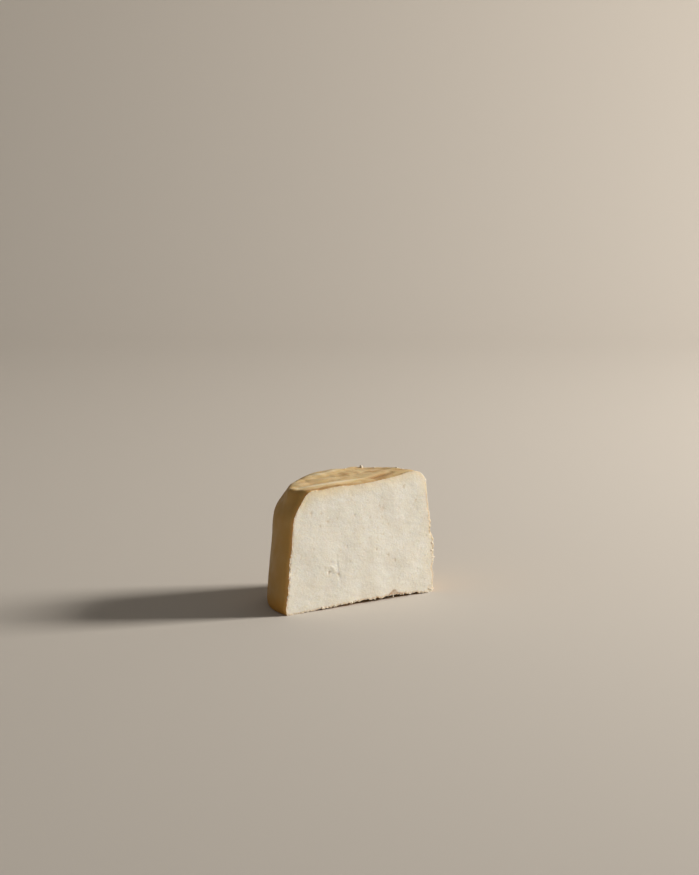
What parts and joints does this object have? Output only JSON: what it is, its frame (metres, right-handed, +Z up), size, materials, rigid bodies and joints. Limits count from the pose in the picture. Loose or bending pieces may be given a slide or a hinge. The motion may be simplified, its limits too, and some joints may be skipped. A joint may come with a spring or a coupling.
{
  "type": "smoked goat cheese",
  "caption": "Cut piece of a small round smoked goat cheese: white crumbly paste on a flat upright cut, thin tan smoked rind with soft cloth folds on a rounded top and tapering wall.",
  "frame": {"origin": "middle of the footprint, on the surface that the piece stands on", "axes": "+Z up, X along the width of the cut, the cut face looks towards -Y and the round back towards +Y"},
  "size_m": [0.1006, 0.0546, 0.0707],
  "materials": {
    "goat_cheese": "matt white crumbly paste on the cut, satin tan smoked rind on wall, top and underside"
  },
  "bodies": {
    "root": {"goat_cheese": "goat_cheese"}
  },
  "joints": []
}
